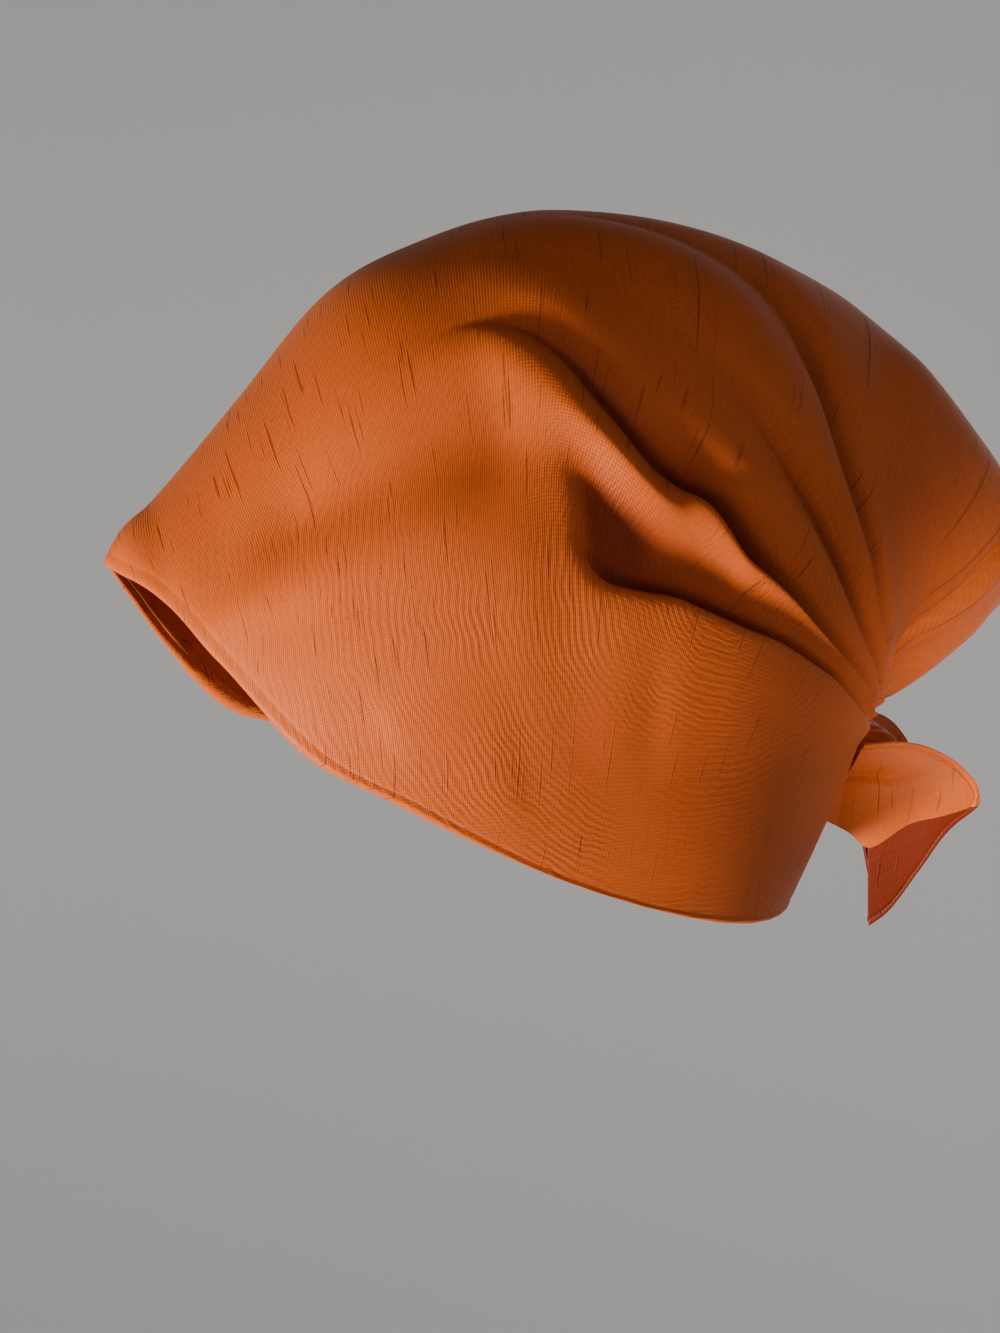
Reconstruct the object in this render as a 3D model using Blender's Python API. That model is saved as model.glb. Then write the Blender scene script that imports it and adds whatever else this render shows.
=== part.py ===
"""A cloth head wrap, tied at the nape, at its real size.

One cloth makes the crown: a soft peak in front, a wide smooth band down each side,
and a pouch behind, with pleats that fan out from the tie. A narrow facing lies
inside the front edge, and a knot and two short tails finish the tie.
+X is the wearer's left, -Y the front and +Z up. Tables are in millimetres and are
worked about the middle of the head. The origin is the inside top of the crown.
"""

import math

import bmesh
import bpy
import numpy as np

MM = 0.001
WALL = 1.6
GAP = 0.4
SEAT = (0.0, 15.0, 108.6)

FAN_CENTRE = np.array([0.0, 0.0, -67.0])
FAN_REACH = 300.0
RING_ANGLE = 4.4
NUDGE = 0.01
SLANT_LIMIT = 2.2
ROWS_TO_RIM = 3
ROWS_OVER_RIM = 6
ROWS_TO_FACING = 17
ROWS_ON_FACING = 2

# One row for each cross-section, front to back: place along Y, height of the top,
# greatest half width and its height, bottom, and how round the arch and the sides are.
SECTIONS = (
    # y, top, half_width, wide_z, bottom, arch, side
    (-132.0, 6.5, 1.0, 4.0, 2.0, 1.6, 2.0),
    (-128.0, 13.0, 15.0, 2.0, -60.0, 1.6, 2.2),
    (-118.0, 22.0, 33.0, -8.0, -110.0, 1.7, 2.4),
    (-103.0, 38.0, 48.0, -24.0, -150.0, 1.85, 2.6),
    (-87.0, 56.0, 60.0, -34.0, -180.0, 1.95, 2.6),
    (-62.0, 84.0, 71.0, -30.0, -200.0, 2.05, 2.6),
    (-30.0, 101.0, 78.0, -22.0, -215.0, 2.15, 2.6),
    (10.0, 110.0, 80.0, -14.0, -215.0, 2.2, 2.6),
    (50.0, 106.5, 76.0, -8.0, -175.0, 2.1, 2.5),
    (75.0, 100.0, 68.0, -4.0, -138.0, 2.0, 2.3),
    (90.0, 94.5, 62.0, 0.0, -115.0, 1.9, 2.1),
    (101.0, 90.0, 57.0, 4.0, -98.0, 1.85, 1.9),
    (112.0, 84.5, 52.0, 8.0, -74.0, 1.8, 1.6),
    (122.0, 77.5, 48.0, 8.0, -59.0, 1.8, 1.5),
    (135.0, 66.5, 43.0, 6.0, -54.0, 1.85, 1.7),
    (151.0, 50.5, 36.0, 4.0, -44.0, 1.9, 1.9),
    (168.0, 32.0, 26.0, 2.0, -31.0, 2.0, 2.0),
    (180.0, 16.0, 14.0, 1.0, -17.0, 2.0, 2.0),
    (185.0, 2.0, 1.0, 1.0, 0.0, 2.0, 2.0),
)

# The lower edge of the cloth along Y: its height on the wearer's left and right.
EDGE = (
    # y, left_z, right_z
    (-132.0, 5.0, 5.0),
    (-123.0, 0.5, -6.5),
    (-107.0, -19.0, -28.0),
    (-87.0, -43.0, -50.0),
    (-61.0, -58.5, -62.0),
    (-18.0, -82.5, -84.0),
    (34.0, -102.0, -102.0),
    (75.0, -111.0, -111.0),
    (105.0, -115.0, -115.0),
)
EDGE_BLEND = 18.0

# The threads that run from the tie to the edge, from the middle of the left band up
# to the crown's middle: the columns of cloth from the first thread, and the thread's
# fan angle around the head at each fan angle from the knot.
THREAD_AT = (5.0, 20.0, 40.0, 60.0, 80.0, 100.0, 130.0, 165.0)
THREADS = (
    # columns, then phi at each of those angles
    (0.0, 12.0, 9.0, 6.0, 5.0, 5.0, 5.0, 5.0, 5.0),
    (4.0, 24.0, 18.5, 25.0, 32.0, 38.5, 46.5, 38.0, 34.0),
    (8.0, 33.0, 22.5, 30.0, 39.0, 49.0, 61.5, 50.5, 47.0),
    (11.0, 38.0, 25.5, 34.0, 44.0, 56.0, 69.0, 58.0, 55.0),
    (14.0, 44.0, 29.5, 38.5, 50.5, 61.0, 74.5, 65.5, 63.0),
    (18.0, 50.0, 34.0, 45.0, 61.0, 72.5, 80.5, 75.0, 73.0),
    (21.0, 56.0, 38.0, 50.5, 67.5, 78.5, 84.0, 80.5, 79.0),
    (28.0, 90.0, 90.0, 90.0, 90.0, 90.0, 90.0, 90.0, 90.0),
)
COLUMNS_OVER = 56
COLUMNS_UNDER = 22
RIGHT_SHIFT = 2.5

# One row for each pleat, ridge or dent: the column it follows, the fan angles where
# it starts and ends, its height (negative is a dent), and its half widths in columns
# on the band's side and on the top's side.
FOLDS = (
    # follows, starts, ends, height, below, above
    (4.0, 3.0, 99.0, 5.0, 3.2, 0.9),
    (5.3, 4.0, 103.0, -7.0, 0.9, 1.5),
    (8.0, 4.0, 112.0, 8.0, 1.7, 1.5),
    (11.0, 4.0, 104.0, -8.0, 1.5, 1.5),
    (14.0, 3.0, 104.0, 6.0, 1.6, 1.0),
    (15.5, 4.0, 84.0, -3.5, 0.8, 1.3),
    (18.0, 3.0, 92.0, 6.0, 2.0, 1.1),
    (20.3, 4.0, 84.0, -6.0, 1.1, 2.2),
    (1.0, 4.0, 60.0, 2.0, 1.5, 1.5),
    (60.0, 4.0, 46.0, 1.5, 1.5, 1.5),
    (73.0, 4.0, 46.0, 1.5, 1.5, 1.5),
)
FOLD_FADE = 14.0
FOLD_FULL_SPAN = 42.0
RIGHT_SHARE = 0.85

# The rolled rim under the pouch: its fan angle from the knot at the two ends and at
# the middle, its half width and height, and the crease above it.
RIM_FROM = 12.0
RIM_ENDS = 9.0
RIM_MIDDLE = 17.0
RIM_HALF = 1.8
RIM_HEIGHT = 5.0
CREASE_ABOVE = 3.4
CREASE_DEPTH = 3.0
RIM_FADE = 14.0
RIM_ROW_STEP = 1.4

# The facing: cloth folded in along the front edge, from one temple to the other.
FACING_WIDTH = 18.0
FACING_WALL = 1.0

# The knot hangs back and down from the ring that the pleats run into. One row for
# each section along it: its half width and half height.
KNOT_START = (0.0, 120.0, -65.5)
KNOT_SLOPE = 43.0
KNOT = (
    # along, half_width, half_height
    (-4.0, 6.0, 6.0),
    (0.0, 7.4, 7.6),
    (3.5, 8.6, 8.2),
    (7.0, 11.2, 9.8),
    (11.0, 12.8, 11.2),
    (15.5, 12.0, 10.6),
    (19.0, 8.5, 7.6),
    (21.0, 4.0, 3.6),
)
KNOT_COLUMNS = 26
KNOT_ROWS = 14
WRAP_HEIGHT = 0.9
WRAP_TURNS = 2.0
WRAP_SLANT = 0.28

# The near tail: its upper edge, the bend along which it turns down, and the hemmed
# end below the bend. The first column is the share of the way along each line.
TAIL_WALL = 1.2
TAIL_UPPER_EDGE = (
    # along, x, y, z
    (0.0, 13.6, 121.5, -67.0),
    (0.2, 14.2, 131.5, -67.0),
    (0.4, 15.0, 141.5, -68.2),
    (0.62, 15.5, 152.0, -72.4),
    (0.8, 15.2, 160.5, -78.2),
    (0.93, 14.0, 167.4, -85.5),
    (1.0, 12.5, 169.6, -91.0),
)
TAIL_BEND = (
    # along, x, y, z
    (0.0, 6.0, 111.0, -94.5),
    (0.2, 8.0, 120.5, -99.6),
    (0.35, 9.0, 127.5, -105.0),
    (0.6, 12.0, 142.1, -97.0),
    (0.82, 13.5, 155.0, -94.8),
    (1.0, 12.5, 169.2, -92.6),
)
TAIL_END = (
    # along, x, y, z
    (0.35, 2.0, 133.0, -136.0),
    (0.45, 3.5, 139.0, -131.5),
    (0.65, 8.0, 149.5, -115.0),
    (0.82, 11.0, 158.0, -101.5),
    (1.0, 12.5, 168.8, -93.4),
)
TAIL_COLUMNS = 17
TAIL_UPPER_ROWS = 5
TAIL_FLAP_ROWS = 5
TAIL_FULLNESS = 2.2
RIGHT_TAIL_BACK = 2.0
RIGHT_TAIL_DROP = 3.5

SILK = (0.62, 0.16, 0.035)
SILK_INSIDE = (0.50, 0.11, 0.03)
SILK_ROUGHNESS = 0.5


def smooth(xs, ys, at):
    """A curve through the points that never swings past them."""
    xs, at = np.asarray(xs, float), np.asarray(at, float)
    ys = np.asarray(ys, float)
    if ys.ndim == 1:
        ys = ys.reshape((-1,) + (1,) * at.ndim)
    ys = np.broadcast_to(ys, ys.shape[:1] + at.shape)
    step = np.diff(xs).reshape((-1,) + (1,) * at.ndim)
    slope = np.diff(ys, axis=0) / step
    mean = (slope[1:] * step[:-1] + slope[:-1] * step[1:]) / (step[1:] + step[:-1])
    limit = 3.0 * np.minimum(np.abs(slope[1:]), np.abs(slope[:-1]))
    inner = np.sign(mean) * np.minimum(np.abs(mean), limit)
    inner = np.where(slope[1:] * slope[:-1] <= 0.0, 0.0, inner)
    tangent = np.concatenate([slope[:1], inner, slope[-1:]])
    at = np.clip(at, xs[0], xs[-1])
    i = np.clip(np.searchsorted(xs, at, side="right") - 1, 0, len(xs) - 2)
    h = np.diff(xs)[i]
    t = (at - xs[i]) / h
    y0, y1, m0, m1 = (
        np.take_along_axis(values, index[None], axis=0)[0]
        for values, index in ((ys, i), (ys, i + 1), (tangent, i), (tangent, i + 1))
    )
    return (
        y0 * (1.0 + 2.0 * t) * (1.0 - t) ** 2
        + m0 * h * t * (1.0 - t) ** 2
        + y1 * t * t * (3.0 - 2.0 * t)
        + m1 * h * t * t * (t - 1.0)
    )


def column(table, at, name_index):
    """One column of a table, smoothed along its first column."""
    rows = np.array(table, float)
    return smooth(rows[:, 0], rows[:, name_index], at)


def outside(points):
    """Positive outside the head wrap's plain form, negative inside it."""
    x, y, z = points[..., 0], points[..., 1], points[..., 2]
    top, half, wide, bottom, arch, side = (
        column(SECTIONS, y, k) for k in range(1, 7)
    )
    above = z > wide
    reach = np.where(above, top - wide, wide - bottom)
    power = np.where(above, arch, side)
    value = np.abs(x / half) ** power + np.abs((z - wide) / reach) ** power - 1.0
    beyond = (y < SECTIONS[0][0]) | (y > SECTIONS[-1][0])
    return np.where(beyond, 1.0, value)


def direction(theta, phi):
    """Unit vectors of the fan: theta from the knot's axis, phi from +X towards +Z."""
    return np.stack(
        [
            np.sin(theta) * np.cos(phi),
            np.cos(theta) + 0.0 * phi,
            np.sin(theta) * np.sin(phi),
        ],
        axis=-1,
    )


def plain_radius(theta, phi):
    """How far the plain form reaches from the fan's centre, by halving."""
    ray = direction(theta, phi)
    low = np.full(ray.shape[:-1], 5.0)
    high = np.full(ray.shape[:-1], FAN_REACH)
    for _ in range(26):
        middle = 0.5 * (low + high)
        out = outside(FAN_CENTRE + ray * middle[..., None]) > 0.0
        high = np.where(out, middle, high)
        low = np.where(out, low, middle)
    return 0.5 * (low + high)


def edge_height(points):
    """Height of the lower edge beside each point, passing from left to right in front."""
    x, y = points[..., 0], points[..., 1]
    right = 0.5 - 0.5 * np.tanh(x / EDGE_BLEND)
    return column(EDGE, y, 1) * (1.0 - right) + column(EDGE, y, 2) * right


def thread_angle(thread, theta):
    """The fan angle around the head of each thread, at each angle from the knot."""
    theta_deg = np.degrees(theta)
    left = np.where(thread > COLUMNS_OVER / 2.0, COLUMNS_OVER - thread, thread)
    left = np.clip(left, 0.0, COLUMNS_OVER / 2.0)
    starts = [row[0] for row in THREADS]
    lines = np.stack([smooth(THREAD_AT, row[1:], theta_deg) for row in THREADS])
    over = smooth(starts, lines, left)
    shifted = 180.0 - over - RIGHT_SHIFT * np.sin(np.radians(2.0 * over))
    over = np.where(thread > COLUMNS_OVER / 2.0, shifted, over)
    share = (thread - COLUMNS_OVER) / COLUMNS_UNDER
    under = 180.0 - lines[0] + (180.0 + 2.0 * lines[0]) * share
    return np.radians(np.where(thread > COLUMNS_OVER, under, over))


def edge_angle(thread):
    """The fan angle at which each thread meets the lower edge."""
    low = np.full(thread.shape, math.radians(12.0))
    high = np.full(thread.shape, math.radians(176.0))
    for _ in range(26):
        middle = 0.5 * (low + high)
        phi = thread_angle(thread, middle)
        at = FAN_CENTRE + direction(middle, phi) * plain_radius(middle, phi)[..., None]
        under = at[..., 2] < edge_height(at)
        high = np.where(under, middle, high)
        low = np.where(under, low, middle)
    return 0.5 * (low + high)


def fade(value):
    """A smooth step from 0 to 1."""
    t = np.clip(value, 0.0, 1.0)
    return t * t * (3.0 - 2.0 * t)


def fold_lift(theta, thread, radius):
    """How far the pleats, ridges and dents push the cloth out, on both sides."""
    theta_deg = np.degrees(theta)
    span = fade(radius * np.sin(theta) / FOLD_FULL_SPAN)
    lift = np.zeros(radius.shape)
    for follows, starts, ends, height, below, above in FOLDS:
        along = fade((theta_deg - starts) / FOLD_FADE)
        along = along * fade((ends - theta_deg) / FOLD_FADE)
        sides = ((thread, 1.0), (COLUMNS_OVER - thread, RIGHT_SHARE))
        for place, share in sides[: 2 if follows < COLUMNS_OVER / 2.0 else 1]:
            off = place - follows
            width = np.where(off < 0.0, below, above)
            lift += share * height * span * along * np.exp(-((off / width) ** 2))
    return lift


def rim_angle(thread):
    """The fan angle of the pouch's rim, low at both ends and highest behind."""
    phi_deg = np.degrees(thread_angle(thread, np.radians(RIM_MIDDLE)))
    share = np.clip((phi_deg - RIM_FROM) / (180.0 - 2.0 * RIM_FROM), 0.0, 1.0)
    return RIM_ENDS + (RIM_MIDDLE - RIM_ENDS) * np.sqrt(np.sin(math.pi * share))


def rim_lift(theta, thread):
    """The rolled rim under the pouch and the crease above it."""
    phi_deg = np.degrees(thread_angle(thread, theta))
    along = fade((phi_deg - RIM_FROM) / RIM_FADE)
    along = along * fade((180.0 - RIM_FROM - phi_deg) / RIM_FADE)
    off = np.degrees(theta) - rim_angle(thread)
    roll = RIM_HEIGHT * np.exp(-((off / RIM_HALF) ** 2))
    crease = CREASE_DEPTH * np.exp(-(((off - CREASE_ABOVE) / RIM_HALF) ** 2))
    return along * (roll - crease)


def cloth(theta, thread):
    """Points on the outer face of the crown's cloth."""
    phi = thread_angle(thread, theta)
    radius = plain_radius(theta, phi)
    radius = radius + fold_lift(theta, thread, radius) + rim_lift(theta, thread)
    return FAN_CENTRE + direction(theta, phi) * radius[..., None]


def inside_cloth(theta, thread, depth):
    """Points under the crown's outer face: depth is measured square to the cloth,
    and the points go in along the fan, so that a wall never crosses itself."""
    phi = thread_angle(thread, theta)
    along = cloth(theta + NUDGE, thread) - cloth(theta - NUDGE, thread)
    across = cloth(theta, thread + NUDGE) - cloth(theta, thread - NUDGE)
    normal = np.cross(across, along)
    normal /= np.linalg.norm(normal, axis=-1, keepdims=True)
    facing = np.sum(normal * direction(theta, phi), axis=-1)
    slant = 1.0 / np.clip(facing, 1.0 / SLANT_LIMIT, 1.0)
    return cloth(theta, thread) - direction(theta, phi) * (depth * slant)[..., None]


def crown_rows(thread):
    """Fan angles of the crown's rows on each thread, from the knot to the edge."""
    rim = np.radians(rim_angle(thread))
    edge = edge_angle(thread)
    run = np.linalg.norm(cloth(edge, thread) - cloth(edge - NUDGE, thread), axis=-1)
    step = math.radians(RIM_ROW_STEP)
    stops = (
        (np.full(thread.shape, math.radians(RING_ANGLE)), ROWS_TO_RIM),
        (rim - 2.0 * step, ROWS_OVER_RIM),
        (rim + (ROWS_OVER_RIM - 2.0) * step, ROWS_TO_FACING),
        (edge - FACING_WIDTH * NUDGE / run, ROWS_ON_FACING),
    )
    ends = [stop for stop, _ in stops[1:]] + [edge]
    rows = [
        start + (end - start) * i / count
        for (start, count), end in zip(stops, ends)
        for i in range(count)
    ]
    return np.stack(rows + [edge])


def material(name, colour, roughness):
    """A woven silk finish."""
    made = bpy.data.materials.new(name)
    made.use_nodes = True
    shader = made.node_tree.nodes["Principled BSDF"]
    shader.inputs["Base Color"].default_value = (*colour, 1.0)
    shader.inputs["Roughness"].default_value = roughness
    shader.inputs["Metallic"].default_value = 0.0
    return made


def add_object(name, points, faces, colour, roughness):
    """A smooth mesh object from points in millimetres about the middle of the head."""
    mesh = bpy.data.meshes.new(name)
    placed = (np.reshape(points, (-1, 3)) - np.array(SEAT)) * MM
    mesh.from_pydata([tuple(p) for p in placed], [], faces)
    made = bpy.data.objects.new(name, mesh)
    bpy.context.collection.objects.link(made)
    made.data.materials.append(material(name, colour, roughness))
    mesh.shade_smooth()
    return made


def grid_faces(rows, columns, closed):
    """Triangles between neighbouring rows and columns, all split the same way."""
    faces = []
    for row in range(rows - 1):
        for column_one in range(columns if closed else columns - 1):
            column_two = (column_one + 1) % columns
            one, two = row * columns + column_one, row * columns + column_two
            faces.append((one, two, two + columns))
            faces.append((one, two + columns, one + columns))
    return faces


def shell(outer, inner, closed):
    """Points and faces of the closed wall between two grids of points."""
    rows, columns = outer.shape[:2]
    points = np.concatenate([outer.reshape(-1, 3), inner.reshape(-1, 3)])
    under = rows * columns
    faces = grid_faces(rows, columns, closed)
    faces += [tuple(index + under for index in face[::-1]) for face in faces]
    first, last = list(range(columns)), list(range(under - columns, under))
    if closed:
        borders = [last + last[:1], (first + first[:1])[::-1]]
    else:
        left = list(range(0, under, columns))
        right = list(range(columns - 1, under, columns))
        borders = [last, first[::-1], left, right[::-1]]
    for border in borders:
        for one, two in zip(border, border[1:]):
            faces.append((one, two, two + under, one + under))
    return points, faces


def thicken(made, wall):
    """Gives an open sheet its wall, half to each side."""
    solid = made.modifiers.new("wall", "SOLIDIFY")
    solid.thickness = wall * MM
    solid.offset = 0.0
    solid.use_even_offset = False


def make_crown():
    """The main cloth, from a small ring at the knot to the lower edge."""
    threads = np.arange(COLUMNS_OVER + COLUMNS_UNDER, dtype=float)
    theta = crown_rows(threads)
    threads = np.broadcast_to(threads, theta.shape)
    inner = inside_cloth(theta, threads, WALL)
    points, faces = shell(cloth(theta, threads), inner, closed=True)
    add_object("crown", points, faces, SILK, SILK_ROUGHNESS)


def make_front_facing():
    """The folded-in hem, a gap inside the crown's wall and flush with its edge."""
    threads = np.arange(COLUMNS_OVER + 1, dtype=float)
    theta = crown_rows(threads)[-ROWS_ON_FACING - 1 :]
    threads = np.broadcast_to(threads, theta.shape)
    depth = WALL + GAP
    outer = inside_cloth(theta, threads, depth)
    inner = inside_cloth(theta, threads, depth + FACING_WALL)
    points, faces = shell(outer, inner, closed=False)
    add_object("front_facing", points, faces, SILK_INSIDE, SILK_ROUGHNESS)


def make_knot():
    """The tie: a neck in the pleats' ring, and a wrapped lump under the pouch."""
    along = np.linspace(KNOT[0][0], KNOT[-1][0], KNOT_ROWS)[:, None]
    turn = np.arange(KNOT_COLUMNS)[None, :] * 2.0 * math.pi / KNOT_COLUMNS
    half_width, half_height = (column(KNOT, along, k) for k in (1, 2))
    bulge = fade(along / 6.0) * fade((KNOT[-1][0] - along) / 5.0)
    wrap = WRAP_HEIGHT * bulge * np.cos(WRAP_TURNS * turn + WRAP_SLANT * along)
    side = (half_width + wrap) * np.cos(turn)
    rise = (half_height + wrap) * np.sin(turn)
    slope = math.radians(KNOT_SLOPE)
    points = np.array(KNOT_START) + np.stack(
        [
            side,
            along * math.cos(slope) + rise * math.sin(slope),
            rise * math.cos(slope) - along * math.sin(slope),
        ],
        axis=-1,
    )
    faces = grid_faces(KNOT_ROWS, KNOT_COLUMNS, closed=True)
    faces.append(tuple(range(KNOT_COLUMNS)))
    start = (KNOT_ROWS - 1) * KNOT_COLUMNS
    faces.append(tuple(range(start, start + KNOT_COLUMNS))[::-1])
    made = add_object("knot", points, faces, SILK, SILK_ROUGHNESS)
    shape = bmesh.new()
    shape.from_mesh(made.data)
    bmesh.ops.recalc_face_normals(shape, faces=shape.faces)
    shape.to_mesh(made.data)
    shape.free()


def line_at(table, along):
    """Points on one of the tail's lines."""
    return np.stack([column(table, along, k) for k in (1, 2, 3)], axis=-1)


def make_tail(name, right):
    """One tie end: an upper part that leaves the knot, and a flap turned down."""
    along = np.linspace(0.0, 1.0, TAIL_COLUMNS)
    upper, bend = line_at(TAIL_UPPER_EDGE, along), line_at(TAIL_BEND, along)
    down = np.linspace(0.0, 1.0, TAIL_UPPER_ROWS)[:, None, None]
    part = upper + (bend - upper) * down
    part[..., 0] += TAIL_FULLNESS * np.sin(math.pi * down[..., 0]) * np.sin(math.pi * along)
    first = int(np.searchsorted(along, TAIL_END[0][0]))
    turned = along[first:]
    down = np.linspace(0.0, 1.0, TAIL_FLAP_ROWS)[1:, None, None]
    hinge, end = line_at(TAIL_BEND, turned), line_at(TAIL_END, turned)
    flap = hinge + (end - hinge) * down
    points = np.concatenate([part.reshape(-1, 3), flap.reshape(-1, 3)])
    faces = grid_faces(TAIL_UPPER_ROWS, TAIL_COLUMNS, closed=False)
    hinge_start = (TAIL_UPPER_ROWS - 1) * TAIL_COLUMNS + first
    flap_start = TAIL_UPPER_ROWS * TAIL_COLUMNS
    span = len(turned)
    above = list(range(hinge_start, hinge_start + span))
    for row in range(TAIL_FLAP_ROWS - 1):
        below = list(range(flap_start + row * span, flap_start + (row + 1) * span))
        for c in range(span - 1):
            faces.append((above[c], above[c + 1], below[c + 1], below[c]))
        above = below
    if right:
        points = points * np.array([-1.0, 1.0, 1.0])
        points = points + np.array([0.0, RIGHT_TAIL_BACK, -RIGHT_TAIL_DROP])
    made = add_object(name, points, faces, SILK, SILK_ROUGHNESS)
    thicken(made, TAIL_WALL)


for old in list(bpy.data.objects):
    bpy.data.objects.remove(old)

make_crown()
make_front_facing()
make_knot()
make_tail("tail_left", right=False)
make_tail("tail_right", right=True)
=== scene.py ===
import math

import bmesh
import bpy
import numpy as np
from mathutils import Matrix, Vector


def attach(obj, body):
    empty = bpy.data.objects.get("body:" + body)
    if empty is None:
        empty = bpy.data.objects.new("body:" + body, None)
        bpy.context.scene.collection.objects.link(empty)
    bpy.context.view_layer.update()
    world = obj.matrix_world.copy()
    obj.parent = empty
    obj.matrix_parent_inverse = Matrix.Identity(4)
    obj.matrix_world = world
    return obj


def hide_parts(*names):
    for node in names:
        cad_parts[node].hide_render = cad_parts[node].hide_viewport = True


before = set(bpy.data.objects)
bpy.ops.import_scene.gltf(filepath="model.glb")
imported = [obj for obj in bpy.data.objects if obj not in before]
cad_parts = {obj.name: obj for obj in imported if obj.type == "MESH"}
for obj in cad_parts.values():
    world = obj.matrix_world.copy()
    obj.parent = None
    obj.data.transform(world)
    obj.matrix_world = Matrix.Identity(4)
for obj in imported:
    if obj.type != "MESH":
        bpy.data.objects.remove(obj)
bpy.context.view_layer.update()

# The view: the wrap hangs as it is worn, seen from its left and a little above, with a
# pale paper sweep all round it. The key light comes in low from the front left, and weaker
# soft lights reach the near side, the top and the far side.
VIEW_SIDE = math.radians(70.0)
VIEW_RISE = math.radians(10.0)
CAMERA_AT = (0.5586, -0.2252, -0.0381)
LENS = 50.23
SWEEP_FLOOR = -1.60
SWEEP_RADIUS = 1.9
SWEEP_EDGE = 0.5
SWEEP_CURVE = ((0.19, 0.04), (0.16, 0.11), (0.10, 0.16), (0.05, 0.19), (0.0, 2.9))
PAPER = (0.60, 0.62, 0.66, 1.0)
LIT_POINT = (0.0, 0.0, -0.11)
WARM = (1.0, 0.91, 0.78)
LIGHTS = (
    # name, towards the eye, right and up, then distance, size, power and colour
    ("key", (0.47, -0.71, -0.53), 1.2, 0.25, 37.0, WARM),
    ("side", (0.87, -0.42, -0.25), 1.3, 0.3, 3.0, WARM),
    ("fill", (0.5, 0.7, 0.5), 1.5, 1.2, 0.6, (0.92, 0.96, 1.0)),
    ("far side", (-0.9, 0.35, 0.15), 1.4, 1.2, 3.0, (1.0, 0.97, 0.92)),
)
TIE_POINT = (0.03, 0.15, -0.157)
TIE_SPOT_FROM = (0.93, 0.09, -0.34)
TIE_SPOT_DISTANCE = 1.2
TIE_SPOT_POWER = 150.0
TIE_SPOT_ANGLE = math.radians(5.8)
ROOM = (0.72, 0.75, 0.80, 1.0)
ROOM_LIGHT = 0.07

view_back = np.array([
    math.sin(VIEW_SIDE) * math.cos(VIEW_RISE),
    -math.cos(VIEW_SIDE) * math.cos(VIEW_RISE),
    math.sin(VIEW_RISE),
])
view_right = np.array([math.cos(VIEW_SIDE), math.sin(VIEW_SIDE), 0.0])
view_up = np.cross(view_back, view_right)

camera_data = bpy.data.cameras.new("camera")
camera_data.sensor_width = 36.0
camera_data.lens = LENS
camera_data.clip_start = 0.01
camera = bpy.data.objects.new("camera", camera_data)
bpy.context.collection.objects.link(camera)
turn = Matrix.Identity(4)
for axis in range(3):
    turn[axis][0] = view_right[axis]
    turn[axis][1] = view_up[axis]
    turn[axis][2] = view_back[axis]
    turn[axis][3] = CAMERA_AT[axis]
camera.matrix_world = turn
bpy.context.scene.camera = camera

bpy.ops.object.select_all(action="DESELECT")
bpy.ops.mesh.primitive_circle_add(
    vertices=96, radius=SWEEP_RADIUS - SWEEP_EDGE, fill_type="NGON", location=(0.0, 0.0, SWEEP_FLOOR)
)
sweep = bpy.context.object
sweep.name = "sweep"
bpy.ops.object.mode_set(mode="EDIT")
bpy.ops.mesh.select_all(action="SELECT")
for out, rise in SWEEP_CURVE:
    bpy.ops.mesh.extrude_region_move(TRANSFORM_OT_translate={"value": (0.0, 0.0, rise)})
    here = 1.0 + out / SWEEP_RADIUS
    bpy.ops.transform.resize(value=(here, here, 1.0))
bpy.ops.mesh.delete(type="ONLY_FACE")
bpy.ops.object.mode_set(mode="OBJECT")
bpy.ops.object.shade_smooth()
bpy.ops.object.transform_apply(location=True, rotation=True, scale=True)
paper = bpy.data.materials.new("pale paper")
paper.use_nodes = True
shader = paper.node_tree.nodes["Principled BSDF"]
shader.inputs["Base Color"].default_value = PAPER
shader.inputs["Roughness"].default_value = 0.9
sweep.data.materials.append(paper)


def from_view(back, right, up):
    """A direction given by its parts towards the eye, to its right and up."""
    return Vector(view_back * back + view_right * right + view_up * up).normalized()


for name, parts, distance, size, power, colour in LIGHTS:
    light = bpy.data.lights.new(name, "AREA")
    light.shape = "SQUARE"
    light.size = size
    light.energy = power
    light.color = colour
    lamp = bpy.data.objects.new(name, light)
    bpy.context.collection.objects.link(lamp)
    toward = from_view(*parts)
    lamp.location = Vector(LIT_POINT) + toward * distance
    lamp.rotation_euler = toward.to_track_quat("Z", "Y").to_euler()
    lamp.visible_camera = False

# The tie's own spot lights the wrap alone, and not the sweep behind it.
spot_data = bpy.data.lights.new("tie spot", "SPOT")
spot_data.energy = TIE_SPOT_POWER
spot_data.color = WARM
spot_data.spot_size = TIE_SPOT_ANGLE
spot_data.spot_blend = 1.0
spot_data.shadow_soft_size = 0.05
spot = bpy.data.objects.new("tie spot", spot_data)
bpy.context.collection.objects.link(spot)
toward = from_view(*TIE_SPOT_FROM)
spot.location = Vector(TIE_POINT) + toward * TIE_SPOT_DISTANCE
spot.rotation_euler = toward.to_track_quat("Z", "Y").to_euler()
spot_lit = bpy.data.collections.new("lit by the tie spot")
spot.light_linking.receiver_collection = spot_lit
world = bpy.data.worlds.new("room")
bpy.context.scene.world = world
world.use_nodes = True
world.node_tree.nodes["Background"].inputs["Color"].default_value = ROOM
world.node_tree.nodes["Background"].inputs["Strength"].default_value = ROOM_LIGHT

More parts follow.
